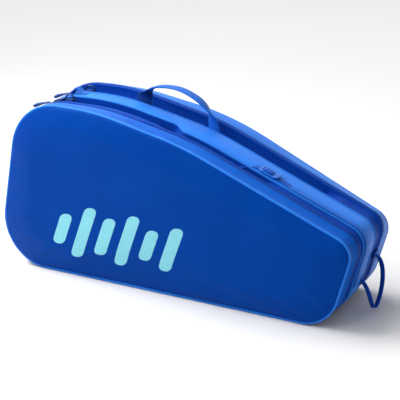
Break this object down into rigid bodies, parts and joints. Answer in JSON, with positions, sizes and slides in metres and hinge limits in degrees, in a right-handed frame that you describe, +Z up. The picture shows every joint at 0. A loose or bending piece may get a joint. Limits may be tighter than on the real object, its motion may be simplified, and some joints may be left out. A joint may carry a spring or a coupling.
{
  "type": "racket tournament bag",
  "caption": "Padded racket bag with two zipped clamshell compartments, raised spine, strap valleys, carry handle and end loop.",
  "frame": {"origin": "middle of the base on the floor, halfway between the two panel seams and between the outline's outer corners", "axes": "+X to the narrow handle end, -Y to the front panel, +Z up"},
  "size_m": [0.7597, 0.216, 0.3707],
  "materials": {
    "panel_cloth": "smooth coated polyester over foam, satin",
    "gusset_cloth": "woven polyester, satin",
    "base_cloth": "coated polyester",
    "strap_cloth": "matte polyester over foam",
    "lining": "plain lining cloth",
    "board": "stiffener sheet",
    "zip_coil": "nylon coil",
    "binding": "grosgrain binding",
    "webbing": "woven polypropylene webbing",
    "zip_metal": "painted die casting",
    "moulding": "moulded acetal"
  },
  "bodies": {
    "bag": {"base_panel": "base_cloth", "base_board": "board", "core_shell": "strap_cloth", "centre_divider": "lining", "front_inner_gusset": "gusset_cloth", "rear_inner_gusset": "gusset_cloth", "front_tail": "gusset_cloth", "rear_tail": "gusset_cloth", "spine": "gusset_cloth", "spine_binding": "binding", "front_zip_inner": "zip_coil", "rear_zip_inner": "zip_coil", "front_pocket": "lining", "rear_pocket": "lining", "front_strap_pad": "strap_cloth", "rear_strap_pad": "strap_cloth", "front_strap_web": "webbing", "rear_strap_web": "webbing", "front_ladder_lock": "moulding", "rear_ladder_lock": "moulding", "front_buckle": "moulding", "rear_buckle": "moulding", "front_strap_tab": "moulding", "rear_strap_tab": "moulding", "front_ring_keeper": "webbing", "rear_ring_keeper": "webbing", "hang_tab": "webbing", "handle_patches": "webbing", "end_loop_patches": "webbing"},
    "front_cover": {"front_panel": "panel_cloth", "front_piping": "binding", "front_gusset": "gusset_cloth", "front_zip_outer": "zip_coil"},
    "front_upper_slider": {"front_upper_slider": "zip_metal"},
    "front_upper_pull": {"front_upper_pull": "moulding"},
    "front_lower_slider": {"front_lower_slider": "zip_metal"},
    "front_lower_pull": {"front_lower_pull": "moulding"},
    "front_strap_ring": {"front_strap_ring": "moulding"},
    "rear_cover": {"rear_panel": "panel_cloth", "rear_piping": "binding", "rear_gusset": "gusset_cloth", "rear_zip_outer": "zip_coil"},
    "rear_upper_slider": {"rear_upper_slider": "zip_metal"},
    "rear_upper_pull": {"rear_upper_pull": "moulding"},
    "rear_lower_slider": {"rear_lower_slider": "zip_metal"},
    "rear_lower_pull": {"rear_lower_pull": "moulding"},
    "rear_strap_ring": {"rear_strap_ring": "moulding"},
    "carry_handle": {"carry_handle": "webbing"},
    "end_loop": {"end_loop": "webbing"}
  },
  "joints": [
    {"name": "front_cover_open", "type": "hinge", "parent": "bag", "child": "front_cover", "pos_m": [0, -0.101, 0.003], "axis": [1, 0, 0], "range_deg": [0, 80]},
    {"name": "rear_cover_open", "type": "hinge", "parent": "bag", "child": "rear_cover", "pos_m": [0, 0.101, 0.003], "axis": [-1, 0, 0], "range_deg": [0, 80]},
    {"name": "front_upper_slider_run", "type": "hinge", "parent": "bag", "child": "front_upper_slider", "pos_m": [-0.229, -0.062, 0.22911], "axis": [0, 1, 0], "range_deg": [0, 70]},
    {"name": "front_lower_slider_run", "type": "slide", "parent": "bag", "child": "front_lower_slider", "axis": [-0.1809, 0, -0.9835], "range_m": [0, 0.095]},
    {"name": "front_upper_pull_swing", "type": "hinge", "parent": "front_upper_slider", "child": "front_upper_pull", "pos_m": [-0.34466, -0.062, 0.24378], "axis": [0, 1, 0], "range_deg": [0, 110]},
    {"name": "front_lower_pull_swing", "type": "hinge", "parent": "front_lower_slider", "child": "front_lower_pull", "pos_m": [-0.3481, -0.062, 0.22509], "axis": [0, 1, 0], "range_deg": [0, 30]},
    {"name": "front_strap_ring_swing", "type": "hinge", "parent": "bag", "child": "front_strap_ring", "pos_m": [-0.241, -0.03625, 0.33591], "axis": [0.9936, 0, 0.1129], "range_deg": [-50, 50]},
    {"name": "rear_upper_slider_run", "type": "hinge", "parent": "bag", "child": "rear_upper_slider", "pos_m": [-0.22872, 0.062, 0.23807], "axis": [0, 1, 0], "range_deg": [0, 70]},
    {"name": "rear_lower_slider_run", "type": "slide", "parent": "bag", "child": "rear_lower_slider", "axis": [-0.1759, 0, -0.9844], "range_m": [0, 0.095]},
    {"name": "rear_upper_pull_swing", "type": "hinge", "parent": "rear_upper_slider", "child": "rear_upper_pull", "pos_m": [-0.34445, 0.062, 0.25214], "axis": [0, 1, 0], "range_deg": [0, 110]},
    {"name": "rear_lower_pull_swing", "type": "hinge", "parent": "rear_lower_slider", "child": "rear_lower_pull", "pos_m": [-0.34779, 0.062, 0.23344], "axis": [0, 1, 0], "range_deg": [0, 30]},
    {"name": "rear_strap_ring_swing", "type": "hinge", "parent": "bag", "child": "rear_strap_ring", "pos_m": [-0.241, 0.03725, 0.33591], "axis": [0.9936, 0, 0.1129], "range_deg": [-50, 50]},
    {"name": "carry_handle_swing", "type": "hinge", "parent": "bag", "child": "carry_handle", "pos_m": [-0.106, 0.0224, 0.33488], "axis": [0.9762, 0, -0.2168], "range_deg": [-45, 45]},
    {"name": "end_loop_swing", "type": "hinge", "parent": "bag", "child": "end_loop", "pos_m": [0.3625, 0.0275, 0.0795], "axis": [-0.2223, -0.7696, -0.5986], "range_deg": [0, 70]}
  ]
}
